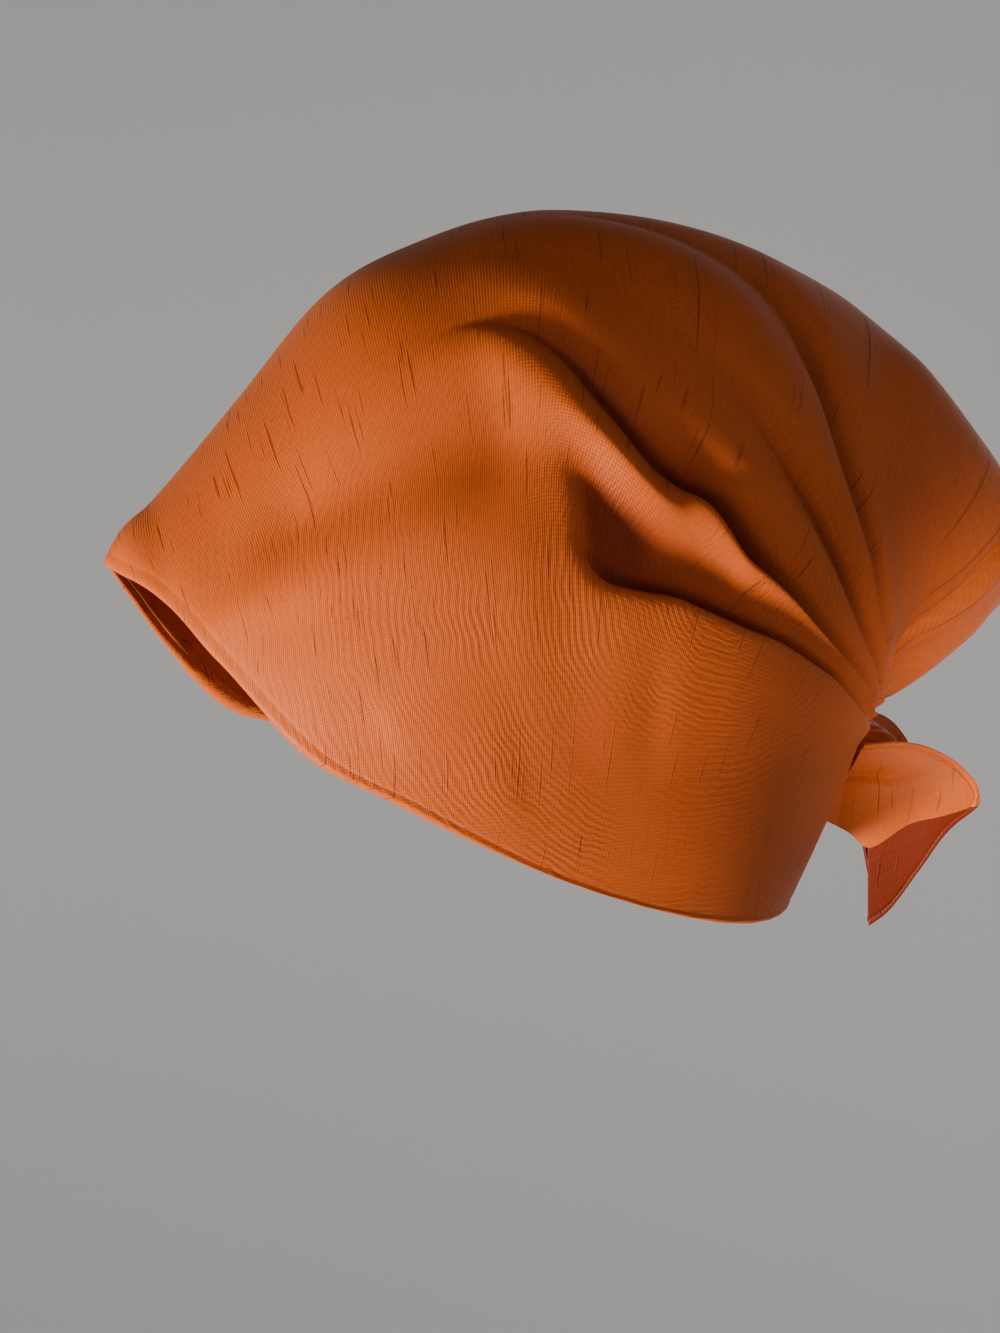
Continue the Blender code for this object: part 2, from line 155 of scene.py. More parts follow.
# The crown: one slubbed silk cloth over the head, with its edge hemmed, its back let
# down in a pouch, and all its fullness drawn into pleats at the tie.
MM = 0.001
SEAT = np.array((0.0, 15.0, 108.6))
WALL = 1.6
GAP = 0.4
FAN_CENTRE = np.array([0.0, 0.0, -67.0])
FAN_REACH = 300.0
RING_ANGLE = 4.4
NUDGE = 0.01
SLANT_LIMIT = 2.2
SECTIONS = (
    # y, top, half_width, wide_z, bottom, arch, side
    (-132.0, 6.5, 1.0, 4.0, 2.0, 1.6, 2.0),
    (-128.0, 13.0, 15.0, 2.0, -60.0, 1.6, 2.2),
    (-118.0, 22.0, 33.0, -8.0, -110.0, 1.7, 2.4),
    (-103.0, 38.0, 48.0, -24.0, -150.0, 1.85, 2.6),
    (-87.0, 56.0, 60.0, -34.0, -180.0, 1.95, 2.6),
    (-62.0, 84.0, 71.0, -30.0, -200.0, 2.05, 2.6),
    (-30.0, 101.0, 78.0, -22.0, -215.0, 2.15, 2.6),
    (10.0, 110.0, 80.0, -14.0, -215.0, 2.2, 2.6),
    (50.0, 106.5, 76.0, -8.0, -175.0, 2.1, 2.5),
    (75.0, 100.0, 68.0, -4.0, -138.0, 2.0, 2.3),
    (90.0, 94.5, 62.0, 0.0, -115.0, 1.9, 2.1),
    (101.0, 90.0, 57.0, 4.0, -98.0, 1.85, 1.9),
    (112.0, 84.5, 52.0, 8.0, -74.0, 1.8, 1.6),
    (122.0, 77.5, 48.0, 8.0, -59.0, 1.8, 1.5),
    (135.0, 66.5, 43.0, 6.0, -54.0, 1.85, 1.7),
    (151.0, 50.5, 36.0, 4.0, -44.0, 1.9, 1.9),
    (168.0, 32.0, 26.0, 2.0, -31.0, 2.0, 2.0),
    (180.0, 16.0, 14.0, 1.0, -17.0, 2.0, 2.0),
    (185.0, 2.0, 1.0, 1.0, 0.0, 2.0, 2.0),
)
EDGE = (
    # y, left_z, right_z
    (-132.0, 5.0, 5.0),
    (-123.0, 0.5, -6.5),
    (-107.0, -19.0, -28.0),
    (-87.0, -43.0, -50.0),
    (-61.0, -58.5, -62.0),
    (-18.0, -82.5, -84.0),
    (34.0, -102.0, -102.0),
    (75.0, -111.0, -111.0),
    (105.0, -115.0, -115.0),
)
EDGE_BLEND = 18.0
THREAD_AT = (5.0, 20.0, 40.0, 60.0, 80.0, 100.0, 130.0, 165.0)
THREADS = (
    # columns, then phi at each of those angles
    (0.0, 12.0, 9.0, 6.0, 5.0, 5.0, 5.0, 5.0, 5.0),
    (4.0, 24.0, 18.5, 25.0, 32.0, 38.5, 46.5, 38.0, 34.0),
    (8.0, 33.0, 22.5, 30.0, 39.0, 49.0, 61.5, 50.5, 47.0),
    (11.0, 38.0, 25.5, 34.0, 44.0, 56.0, 69.0, 58.0, 55.0),
    (14.0, 44.0, 29.5, 38.5, 50.5, 61.0, 74.5, 65.5, 63.0),
    (18.0, 50.0, 34.0, 45.0, 61.0, 72.5, 80.5, 75.0, 73.0),
    (21.0, 56.0, 38.0, 50.5, 67.5, 78.5, 84.0, 80.5, 79.0),
    (28.0, 90.0, 90.0, 90.0, 90.0, 90.0, 90.0, 90.0, 90.0),
)
COLUMNS_OVER = 56
COLUMNS_UNDER = 22
RIGHT_SHIFT = 2.5
# The pleats lap down over each other. Each line is a crest, a valley or a flat place of
# the cloth: the fan angle, the thread where it shows, its height, and how far it laps
# over sideways, in threads.
PLEATS = (
    ("flat", ((10.0, 0.0, 0.0, 0.0), (150.0, 0.0, 0.0, 0.0))),
    ("crest", (
        (8.0, 2.6, 1.2, 0.0), (36.0, 3.3, 3.1, 0.2), (47.0, 3.9, 3.6, 0.3), (58.0, 3.9, 3.8, 0.3),
        (69.0, 3.7, 4.3, 0.3), (79.0, 3.7, 4.3, 0.3), (87.0, 3.4, 4.3, 0.3), (92.0, 3.2, 3.8, 0.3),
        (96.0, 3.1, 2.7, 0.0), (110.0, 3.0, 1.4, 0.0), (122.0, 2.8, 0.9, 0.0), (136.0, 2.2, 0.0, 0.0))),
    ("valley", (
        (8.0, 3.2, -1.2, 0.0), (37.5, 4.0, -3.6, 0.0), (47.0, 4.6, -4.8, 0.0), (57.5, 4.5, -5.4, 0.0),
        (69.0, 4.3, -6.8, 0.0), (79.0, 4.3, -8.1, 0.0), (87.0, 3.95, -8.8, 0.0), (92.0, 3.8, -6.8, 0.0),
        (94.5, 3.9, -2.7, 0.0), (97.5, 4.1, 1.2, 0.0), (104.0, 4.2, 1.2, 0.0), (120.0, 4.2, 0.8, 0.0),
        (136.0, 4.2, 0.0, 0.0))),
    ("flat", (
        (8.0, 3.8, 0.0, 0.0), (37.5, 4.9, 1.2, 0.0), (47.0, 5.4, 1.9, 0.0), (57.5, 5.4, 1.6, 0.0),
        (69.0, 5.2, 0.8, 0.0), (73.0, 5.3, -0.6, 0.0), (78.0, 5.4, -3.0, 0.0), (83.0, 5.4, -4.6, 0.0),
        (89.0, 5.2, -6.4, 0.0), (92.5, 5.2, -5.2, 0.0), (95.0, 5.3, -0.8, 0.0), (97.5, 5.4, 1.1, 0.0),
        (104.0, 5.6, 0.6, 0.0), (120.0, 5.8, 0.2, 0.0), (136.0, 5.8, 0.0, 0.0))),
    ("crest", (
        (8.0, 4.5, 1.2, 0.0), (30.0, 5.8, 2.9, 0.0), (46.5, 6.7, 4.3, -0.2), (58.0, 7.0, 5.5, -0.2),
        (69.5, 6.4, 7.0, -0.2), (74.0, 7.4, 7.0, -0.2), (77.5, 8.0, 5.9, -0.2), (81.0, 7.4, 3.8, 0.0),
        (85.0, 6.8, 4.9, -0.1), (89.0, 6.6, 6.8, -0.3), (93.0, 6.9, 7.6, -0.3), (97.0, 7.75, 6.8, -0.2),
        (100.0, 8.6, 5.4, -0.1), (103.0, 9.7, 2.6, 0.0), (108.0, 10.8, 1.0, 0.0), (120.0, 12.0, 0.0, 0.0))),
    ("valley", (
        (8.0, 6.0, -1.2, 0.0), (25.0, 7.2, -3.0, 0.0), (42.5, 8.4, -4.8, 0.0), (59.0, 9.4, -6.6, 0.0),
        (68.0, 9.9, -10.1, 0.0), (74.0, 10.2, -12.2, 0.0), (80.0, 10.2, -11.5, 0.0), (85.0, 9.8, -9.5, 0.0),
        (90.5, 9.8, -6.2, 0.0), (94.5, 10.6, -3.8, 0.0), (99.0, 11.4, -1.4, 0.0), (105.0, 12.4, 0.0, 0.0),
        (120.0, 13.6, 0.0, 0.0))),
    ("crest", (
        (8.0, 8.0, 1.2, 0.0), (25.0, 9.6, 2.4, 0.0), (39.0, 11.0, 3.4, -0.2), (53.5, 12.6, 3.6, -0.4),
        (65.0, 12.7, 3.2, -0.6), (72.0, 12.8, 2.2, -0.6), (82.0, 12.4, 1.6, -0.5), (89.0, 12.2, 1.6, -0.3),
        (94.5, 13.2, 1.2, 0.0), (99.0, 14.0, 0.7, 0.0), (105.0, 14.6, 0.0, 0.0), (120.0, 15.0, 0.0, 0.0))),
    ("valley", (
        (8.0, 10.6, -1.2, 0.0), (25.0, 12.2, -2.4, 0.0), (40.5, 13.8, -4.1, 0.0), (47.0, 15.0, -4.8, 0.0),
        (56.0, 15.2, -4.3, 0.0), (63.0, 15.3, -3.2, 0.0), (68.0, 15.4, -1.4, 0.0), (76.0, 15.8, 0.4, 0.0),
        (88.0, 16.2, 0.5, 0.0), (100.0, 17.0, 0.0, 0.0), (120.0, 18.0, 0.0, 0.0))),
    ("crest", (
        (8.0, 13.0, 1.2, 0.0), (25.0, 14.0, 2.9, -0.2), (40.5, 15.2, 4.1, -0.3), (47.0, 16.3, 4.6, -0.3),
        (60.0, 16.6, 4.1, -0.3), (68.0, 16.8, 3.8, -0.2), (74.0, 17.6, 3.0, 0.0), (80.0, 18.6, 1.9, 0.0),
        (92.0, 19.6, 0.5, 0.0), (104.0, 20.4, 0.0, 0.0), (120.0, 20.4, 0.0, 0.0))),
    ("valley", (
        (8.0, 14.6, -1.2, 0.0), (25.0, 15.8, -3.0, 0.0), (38.5, 17.0, -5.4, 0.0), (44.0, 18.0, -6.6, 0.0),
        (50.5, 18.7, -6.6, 0.0), (57.0, 20.0, -5.8, 0.0), (62.0, 22.0, -4.6, 0.0), (72.0, 22.8, -2.2, 0.0),
        (84.0, 22.8, -0.5, 0.0), (92.0, 22.8, 0.0, 0.0), (120.0, 22.8, 0.0, 0.0))),
    ("flat", (
        (8.0, 17.0, 0.6, 0.0), (25.0, 18.6, 1.9, 0.0), (44.0, 20.6, 2.2, 0.0), (52.0, 22.0, 1.7, 0.0),
        (62.0, 24.8, 1.1, 0.0), (80.0, 26.0, 0.3, 0.0), (120.0, 26.5, 0.0, 0.0))),
    ("flat", ((8.0, 28.5, 0.0, 0.0), (120.0, 28.5, 0.0, 0.0))),
)
VALLEY_FALL = 1.7
VALLEY_RISE = 2.3
# Broad hollows and swells, each along a line: from a fan angle and thread to another,
# then half its width and its height.
SWELLS = (
    (130.0, 13.0, 105.0, 7.4, 17.0, -4.4),
    (143.0, 10.0, 106.0, 4.0, 13.0, 1.0),
    (129.0, 2.2, 96.0, 3.6, 6.0, 0.9),
    (108.0, 0.6, 84.0, 1.6, 9.0, -1.2),
    (44.0, 25.2, 28.0, 25.0, 12.0, 5.0),
    (60.0, 21.5, 40.0, 21.5, 8.0, -1.6),
)
ANGLE_SPACING = 2.3
THREAD_SPACING = 8.0
FOLD_FULL_SPAN = 42.0
NECK_PLAIN = 5.0
NECK_REACH = 11.0
# Painted fold shade: the depth below nearby crests that gives full shade, how many columns a crest reaches
# sideways, and how much it drops at each column.
FULL_DEPTH = 10.0
SHADE_COLUMNS = 33
SHADE_FALL = 0.12
RIGHT_SHARE = 0.85
RIM_FROM = 12.0
RIM_ENDS = 12.0
RIM_MIDDLE = 24.0
RIM_HALF = 1.6
RIM_HEIGHT = 3.0
CREASE_ABOVE = 2.9
CREASE_HALF = 0.9
CREASE_DEPTH = 8.5
RIM_FADE = 14.0
HEM_ROLL = 6
EDGE_ROLL = 0.3
EDGE_WIDTH = 1.6
EDGE_LINE = 3.0
EDGE_GROOVE = 0.12
WEAVE_REACH = 125.0
WEAVE_SLANT = 0.25
ROLL_STEP = 0.3


def smooth(xs, ys, at):
    """A curve through the points that never swings past them."""
    xs, at = np.asarray(xs, float), np.asarray(at, float)
    ys = np.asarray(ys, float)
    if ys.ndim == 1:
        ys = ys.reshape((-1,) + (1,) * at.ndim)
    ys = np.broadcast_to(ys, ys.shape[:1] + at.shape)
    step = np.diff(xs).reshape((-1,) + (1,) * at.ndim)
    slope = np.diff(ys, axis=0) / step
    mean = (slope[1:] * step[:-1] + slope[:-1] * step[1:]) / (step[1:] + step[:-1])
    limit = 3.0 * np.minimum(np.abs(slope[1:]), np.abs(slope[:-1]))
    inner = np.sign(mean) * np.minimum(np.abs(mean), limit)
    inner = np.where(slope[1:] * slope[:-1] <= 0.0, 0.0, inner)
    tangent = np.concatenate([slope[:1], inner, slope[-1:]])
    at = np.clip(at, xs[0], xs[-1])
    i = np.clip(np.searchsorted(xs, at, side="right") - 1, 0, len(xs) - 2)
    h = np.diff(xs)[i]
    t = (at - xs[i]) / h
    y0, y1, m0, m1 = (
        np.take_along_axis(values, index[None], axis=0)[0]
        for values, index in ((ys, i), (ys, i + 1), (tangent, i), (tangent, i + 1))
    )
    return (
        y0 * (1.0 + 2.0 * t) * (1.0 - t) ** 2
        + m0 * h * t * (1.0 - t) ** 2
        + y1 * t * t * (3.0 - 2.0 * t)
        + m1 * h * t * t * (t - 1.0)
    )


def column(table, at, name_index):
    """One column of a table, smoothed along its first column."""
    rows = np.array(table, float)
    return smooth(rows[:, 0], rows[:, name_index], at)


def outside(points):
    """Positive outside the head wrap's plain form, negative inside it."""
    x, y, z = points[..., 0], points[..., 1], points[..., 2]
    top, half, wide, bottom, arch, side = (
        column(SECTIONS, y, k) for k in range(1, 7)
    )
    above = z > wide
    reach = np.where(above, top - wide, wide - bottom)
    power = np.where(above, arch, side)
    value = np.abs(x / half) ** power + np.abs((z - wide) / reach) ** power - 1.0
    beyond = (y < SECTIONS[0][0]) | (y > SECTIONS[-1][0])
    return np.where(beyond, 1.0, value)


def direction(theta, phi):
    """Unit vectors of the fan: theta from the knot's axis, phi from +X towards +Z."""
    return np.stack(
        [
            np.sin(theta) * np.cos(phi),
            np.cos(theta) + 0.0 * phi,
            np.sin(theta) * np.sin(phi),
        ],
        axis=-1,
    )


def plain_radius(theta, phi):
    """How far the plain form reaches from the fan's centre, by halving."""
    ray = direction(theta, phi)
    low = np.full(ray.shape[:-1], 5.0)
    high = np.full(ray.shape[:-1], FAN_REACH)
    for _ in range(22):
        middle = 0.5 * (low + high)
        out = outside(FAN_CENTRE + ray * middle[..., None]) > 0.0
        high = np.where(out, middle, high)
        low = np.where(out, low, middle)
    return 0.5 * (low + high)


def edge_height(points):
    """Height of the lower edge beside each point, passing from left to right in front."""
    x, y = points[..., 0], points[..., 1]
    right = 0.5 - 0.5 * np.tanh(x / EDGE_BLEND)
    return column(EDGE, y, 1) * (1.0 - right) + column(EDGE, y, 2) * right


def thread_angle(thread, theta):
    """The fan angle around the head of each thread, at each angle from the knot."""
    theta_deg = np.degrees(theta)
    thread = np.mod(thread, COLUMNS_OVER + COLUMNS_UNDER)
    left = np.where(thread > COLUMNS_OVER / 2.0, COLUMNS_OVER - thread, thread)
    left = np.clip(left, 0.0, COLUMNS_OVER / 2.0)
    starts = [row[0] for row in THREADS]
    lines = np.stack([smooth(THREAD_AT, row[1:], theta_deg) for row in THREADS])
    over = smooth(starts, lines, left)
    shifted = 180.0 - over - RIGHT_SHIFT * np.sin(np.radians(2.0 * over))
    over = np.where(thread > COLUMNS_OVER / 2.0, shifted, over)
    share = (thread - COLUMNS_OVER) / COLUMNS_UNDER
    under = 180.0 - lines[0] + (180.0 + 2.0 * lines[0]) * share
    return np.radians(np.where(thread > COLUMNS_OVER, under, over))


def edge_angle(thread):
    """The fan angle at which each thread meets the lower edge."""
    low = np.full(thread.shape, math.radians(12.0))
    high = np.full(thread.shape, math.radians(176.0))
    for _ in range(24):
        middle = 0.5 * (low + high)
        phi = thread_angle(thread, middle)
        at = FAN_CENTRE + direction(middle, phi) * plain_radius(middle, phi)[..., None]
        under = at[..., 2] < edge_height(at)
        high = np.where(under, middle, high)
        low = np.where(under, low, middle)
    return 0.5 * (low + high)


def fade(value):
    """A smooth step from 0 to 1."""
    t = np.clip(value, 0.0, 1.0)
    return t * t * (3.0 - 2.0 * t)


def pleat_lift(theta, thread):
    """How far the pleats push the cloth out, and how far they lap it sideways."""
    theta_deg = np.degrees(theta)
    lines = []
    for kind, stations in PLEATS:
        table = np.array(stations)
        shows, height, lap = (smooth(table[:, 0], table[:, k], theta_deg) for k in (1, 2, 3))
        lines.append((kind, shows - lap, height, lap))
    lift = np.zeros(theta.shape)
    lapped = np.zeros(theta.shape)
    for this_line, next_line in zip(lines, lines[1:]):
        kind, low, low_lift, low_lap = this_line
        next_kind, high, high_lift, high_lap = next_line
        share = (thread - low) / (high - low)
        between = (share >= 0.0) & (share < 1.0)
        share = np.clip(share, 0.0, 1.0)
        ease = share * share * (3.0 - 2.0 * share)
        if kind == "valley":
            ease = 1.0 - (1.0 - share) ** VALLEY_RISE
        if next_kind == "valley":
            ease = share ** VALLEY_FALL
        lift = np.where(between, low_lift + (high_lift - low_lift) * ease, lift)
        lapped = np.where(between, low_lap + (high_lap - low_lap) * ease, lapped)
    return lift, lapped


def swell_lift(theta, thread):
    """The broad hollows and swells between the pleats and the edge."""
    across, along = np.degrees(theta) * ANGLE_SPACING, thread * THREAD_SPACING
    lift = np.zeros(theta.shape)
    for angle, start, end_angle, end, half_width, height in SWELLS:
        from_across, from_along = angle * ANGLE_SPACING, start * THREAD_SPACING
        way_across = end_angle * ANGLE_SPACING - from_across
        way_along = end * THREAD_SPACING - from_along
        share = (across - from_across) * way_across + (along - from_along) * way_along
        share = np.clip(share / (way_across**2 + way_along**2), 0.0, 1.0)
        off_across = across - from_across - share * way_across
        off_along = along - from_along - share * way_along
        lift += height * np.exp(-(off_across**2 + off_along**2) / half_width**2)
    return lift


def rim_angle(thread):
    """The fan angle of the pouch's rim, low at both ends and highest behind."""
    phi_deg = np.degrees(thread_angle(thread, np.radians(RIM_MIDDLE)))
    share = np.clip((phi_deg - RIM_FROM) / (180.0 - 2.0 * RIM_FROM), 0.0, 1.0)
    return RIM_ENDS + (RIM_MIDDLE - RIM_ENDS) * np.sqrt(np.sin(math.pi * share))


def rim_lift(theta, thread):
    """The rolled rim under the pouch and the crease above it."""
    phi_deg = np.degrees(thread_angle(thread, theta))
    along = fade((phi_deg - RIM_FROM) / RIM_FADE)
    along = along * fade((180.0 - RIM_FROM - phi_deg) / RIM_FADE)
    off = np.degrees(theta) - rim_angle(thread)
    roll = RIM_HEIGHT * np.exp(-((off / RIM_HALF) ** 2))
    crease = CREASE_DEPTH * np.exp(-(((off - CREASE_ABOVE) / CREASE_HALF) ** 2))
    return along * (roll - crease)


def folds(theta, thread):
    """The lift and the lap of both sides' pleats, hollows and swells."""
    whole = COLUMNS_OVER + COLUMNS_UNDER
    from_left = np.where(thread > 0.5 * (COLUMNS_OVER + whole), thread - whole, thread)
    left_lift, left_lap = pleat_lift(theta, from_left)
    right_lift, right_lap = pleat_lift(theta, COLUMNS_OVER - thread)
    left_lift += swell_lift(theta, from_left)
    right_lift += swell_lift(theta, COLUMNS_OVER - thread)
    neck = fade((np.degrees(theta) - NECK_PLAIN) / NECK_REACH)
    lift = (left_lift + RIGHT_SHARE * right_lift) * neck
    return lift, (left_lap - RIGHT_SHARE * right_lap) * neck


def cloth(theta, thread):
    """Points on the outer face of the crown's cloth."""
    lift, lapped = folds(theta, thread)
    phi = thread_angle(thread + lapped, theta)
    radius = plain_radius(theta, phi)
    radius = radius + lift * fade(radius * np.sin(theta) / FOLD_FULL_SPAN) + rim_lift(theta, thread)
    return FAN_CENTRE + direction(theta, phi) * radius[..., None]


def crown_rows(thread):
    """Fan angles of the crown's rows on each thread, close behind and wide in front."""
    edge = edge_angle(thread)
    ring = np.full(thread.shape, math.radians(RING_ANGLE))
    share = np.concatenate([np.linspace(0.0, 0.98, 165), np.linspace(0.98, 1.0, 15)[1:]])
    paced = share + 0.10 * np.sin(math.pi * share) * (share - 1.0)
    return ring + (edge - ring) * paced.reshape((-1,) + (1,) * thread.ndim)


def grid_faces(rows, columns, closed):
    """Four-sided faces between neighbouring rows and columns."""
    faces = []
    for row in range(rows - 1):
        for one in range(columns if closed else columns - 1):
            two = (one + 1) % columns
            faces.append(
                (row * columns + one, row * columns + two,
                 (row + 1) * columns + two, (row + 1) * columns + one)
            )
    return faces


def add_piece(name, points, faces, uv=None):
    """A smooth mesh piece, from points in millimetres about the middle of the head."""
    mesh = bpy.data.meshes.new(name)
    placed = (np.reshape(points, (-1, 3)) - SEAT) * MM
    mesh.from_pydata([tuple(p) for p in placed], [], faces)
    mesh.shade_smooth()
    if uv is not None:
        layer = mesh.uv_layers.new(name="Weave")
        corner = np.empty(len(mesh.loops), dtype=np.int32)
        mesh.loops.foreach_get("vertex_index", corner)
        layer.data.foreach_set("uv", np.asarray(uv, dtype=np.float32)[corner].ravel())
    piece = bpy.data.objects.new(name, mesh)
    bpy.context.collection.objects.link(piece)
    spot_lit.objects.link(piece)
    return piece


# The inner face has every second thread and row, so the threads all round are an even
# number, and the rows an odd one.
near_threads = np.concatenate(
    [np.arange(0.0, 3.0, 0.25), np.linspace(3.0, 20.0, 121)[:-1], np.linspace(20.0, 28.0, 33)[:-1]]
)
over_threads = np.concatenate([near_threads, [28.0], (COLUMNS_OVER - near_threads)[::-1]])
under_threads = np.linspace(COLUMNS_OVER, COLUMNS_OVER + COLUMNS_UNDER, 47)[1:-1]
crown_threads = np.concatenate([over_threads, under_threads])
theta = crown_rows(crown_threads)
threads = np.broadcast_to(crown_threads, theta.shape)
outer = cloth(theta, threads)
steps = np.linalg.norm(np.diff(outer, axis=0), axis=-1)
to_edge = np.concatenate([np.cumsum(steps[::-1], axis=0)[::-1], np.zeros((1, outer.shape[1]))])
hem_lift = EDGE_ROLL * np.exp(-((to_edge / EDGE_WIDTH) ** 2))
hem_lift -= EDGE_GROOVE * np.exp(-(((to_edge - EDGE_LINE) / 0.7) ** 2))
hem_ways = outer - FAN_CENTRE
outer = outer + hem_ways * (hem_lift / np.linalg.norm(hem_ways, axis=-1))[..., None]


def wall_under(face, ways, reach, window):
    """How deep the wall's other face lies along the fan, under the lowest cloth nearby."""
    along = np.gradient(face, axis=0)
    across = np.roll(face, -1, axis=1) - np.roll(face, 1, axis=1)
    normal = np.cross(across, along)
    normal /= np.linalg.norm(normal, axis=-1, keepdims=True)
    slant = 1.0 / np.clip(np.abs(np.sum(normal * ways, axis=-1)), 1.0 / SLANT_LIMIT, 1.0)
    deep = reach - WALL * slant
    lowest = deep.copy()
    for shift in range(1, window + 1):
        lowest = np.minimum(lowest, np.roll(deep, shift, axis=1))
        lowest = np.minimum(lowest, np.roll(deep, -shift, axis=1))
    return lowest


out_reach = np.linalg.norm(outer - FAN_CENTRE, axis=-1)
out_ways = (outer - FAN_CENTRE) / out_reach[..., None]
inner_rows = list(range(0, outer.shape[0], 2))
inner_columns = list(range(0, outer.shape[1], 2))
under_reach = wall_under(outer, out_ways, out_reach, 3)
under = FAN_CENTRE + out_ways * under_reach[..., None]
inner = under[np.ix_(inner_rows, inner_columns)]

# The hem: the edge turns over in a soft roll before it meets the inner face.
edge_out = outer[-1] - outer[-2]
edge_out /= np.linalg.norm(edge_out, axis=-1, keepdims=True)
edge_in = under[-1] - outer[-1]
edge_deep = np.linalg.norm(edge_in, axis=-1, keepdims=True)
roll_rows = [
    outer[-1] + edge_in * (1.0 - math.cos(a)) / 2.0 + edge_out * edge_deep * 0.5 * math.sin(a)
    for a in np.linspace(0.0, math.pi, HEM_ROLL + 2)[1:-1]
]
outer = np.concatenate([outer, np.array(roll_rows)])

rows, columns = outer.shape[:2]
inner_shape = inner.shape[:2]
points = np.concatenate([outer.reshape(-1, 3), inner.reshape(-1, 3)])
faces = grid_faces(rows, columns, closed=True)
start = rows * columns
for row in range(inner_shape[0] - 1):
    for one in range(inner_shape[1]):
        two = (one + 1) % inner_shape[1]
        faces.append(tuple(start + i for i in (
            row * inner_shape[1] + two, row * inner_shape[1] + one,
            (row + 1) * inner_shape[1] + one, (row + 1) * inner_shape[1] + two)))
for one in range(inner_shape[1]):
    two = (one + 1) % inner_shape[1]
    a, b, c = 2 * one, 2 * one + 1, (2 * one + 2) % columns
    faces.append((c, b, a, start + one, start + two))
    base = (rows - 1) * columns
    last = start + (inner_shape[0] - 1) * inner_shape[1]
    faces.append((base + a, base + b, base + c, last + two, last + one))

u = WEAVE_REACH * theta
u = np.concatenate([u, u[-1] + ROLL_STEP * np.arange(1, HEM_ROLL + 1)[:, None]])
SEAM_THREAD = 67.0
WEAVE_THREADS = (-11.0, 0.0, 8.0, 11.0, 14.0, 18.0, 21.0, 28.0)
WEAVE_ACROSS = (-110.0, 0.0, 80.0, 98.0, 113.0, 129.0, 139.5, 160.5)


def weave_across(thread):
    """How far round the head each thread's weave is, in millimetres of cloth."""
    near = np.where(thread > COLUMNS_OVER / 2.0, COLUMNS_OVER - thread, thread)
    left = smooth(WEAVE_THREADS, WEAVE_ACROSS, near)
    return np.where(thread > COLUMNS_OVER / 2.0, 2.0 * WEAVE_ACROSS[-1] - left, left)


whole_round = COLUMNS_OVER + COLUMNS_UNDER
around = np.where(crown_threads > SEAM_THREAD, crown_threads - whole_round, crown_threads)
v = np.broadcast_to(weave_across(around), u.shape)
outer_uv = np.stack([u + WEAVE_SLANT * v, v], axis=-1).reshape(-1, 2) * MM
inner_uv = np.stack([u, v], axis=-1)[np.ix_(inner_rows, inner_columns)].reshape(-1, 2) * MM
crown = add_piece("crown_cloth", points, faces, np.concatenate([outer_uv, inner_uv]))

# Painted shade: deep in a fold, below the crests beside it, the silk's colour is darkened, standing in for
# the shade there.
lift = folds(theta, threads)[0]
crest = lift.copy()
for shift in range(1, SHADE_COLUMNS):
    for way in (-shift, shift):
        crest = np.maximum(crest, np.roll(lift, way, axis=1) - SHADE_FALL * shift)
deep = np.clip((crest - lift) / FULL_DEPTH, 0.0, 1.0) ** 1.5
painted_fold_shade_values = np.zeros(len(points), dtype=np.float32)
painted_fold_shade_values[: deep.size] = deep.ravel()
crown.data.attributes.new("painted_fold_shade", "FLOAT", "POINT").data.foreach_set("value", painted_fold_shade_values)

# The weave's lines meet under the nape, so the faces there carry on past the meeting.
weave_layer = crown.data.uv_layers["Weave"].data
corner_uv = np.empty(len(weave_layer) * 2, dtype=np.float32)
weave_layer.foreach_get("uv", corner_uv)
corner_uv = corner_uv.reshape(-1, 2)
first_corner = np.empty(len(crown.data.polygons), dtype=np.int32)
crown.data.polygons.foreach_get("loop_start", first_corner)
whole_way = 2.0 * MM * (WEAVE_ACROSS[-1] - WEAVE_ACROSS[0])
highest = np.maximum.reduceat(corner_uv[:, 1], first_corner)
lowest = np.minimum.reduceat(corner_uv[:, 1], first_corner)
corners = np.diff(np.append(first_corner, len(corner_uv)))
wraps = np.repeat(highest - lowest > 0.5 * whole_way, corners)
wraps &= corner_uv[:, 1] < WEAVE_ACROSS[-1] * MM
corner_uv[wraps] += np.array([WEAVE_SLANT, 1.0], dtype=np.float32) * whole_way
weave_layer.foreach_set("uv", corner_uv.ravel())


WARP_PITCH = 0.0007
WEFT_PITCH = 0.0009
RIPPLE_PITCH = 0.0021
RIPPLE_CENTRE = (0.079, 0.024, -0.106)
RIPPLE_WANDER = 0.007
RIPPLE_BREAKS = 0.0016
RIPPLE_LOW = (-0.04, -0.09, 0.5, 1.0)
RIPPLE_BACK = (-0.13, -0.085, 0.2, 1.0)
SLUB_EDGES = (0.66, 0.72)
SLUB_SHADE = (0.45, 0.33, 0.3, 1.0)
SLUB_STRENGTH = 0.7
DARK_THREAD = 0.62
LIGHT_THREAD = 1.12
THREAD_LEVEL = 0.60
WARP_HEIGHT = 0.00003
WEFT_HEIGHT = 0.00002
RIPPLE_HEIGHT = 0.00006
SLUB_HEIGHT = 0.00012
# The colour that painted shade multiplies the silk by, deep in folds.
PAINTED_FOLD_SHADE = (0.45, 0.30, 0.35)


def wave(nodes, links, source, pitch, name):
    """A sine of a length, one wave for each pitch."""
    times = nodes.new("ShaderNodeMath")
    times.operation = "MULTIPLY"
    times.inputs[1].default_value = 2.0 * math.pi / pitch
    links.new(source, times.inputs[0])
    sine = nodes.new("ShaderNodeMath")
    sine.operation = "SINE"
    sine.label = name
    links.new(times.outputs[0], sine.inputs[0])
    return sine.outputs[0]


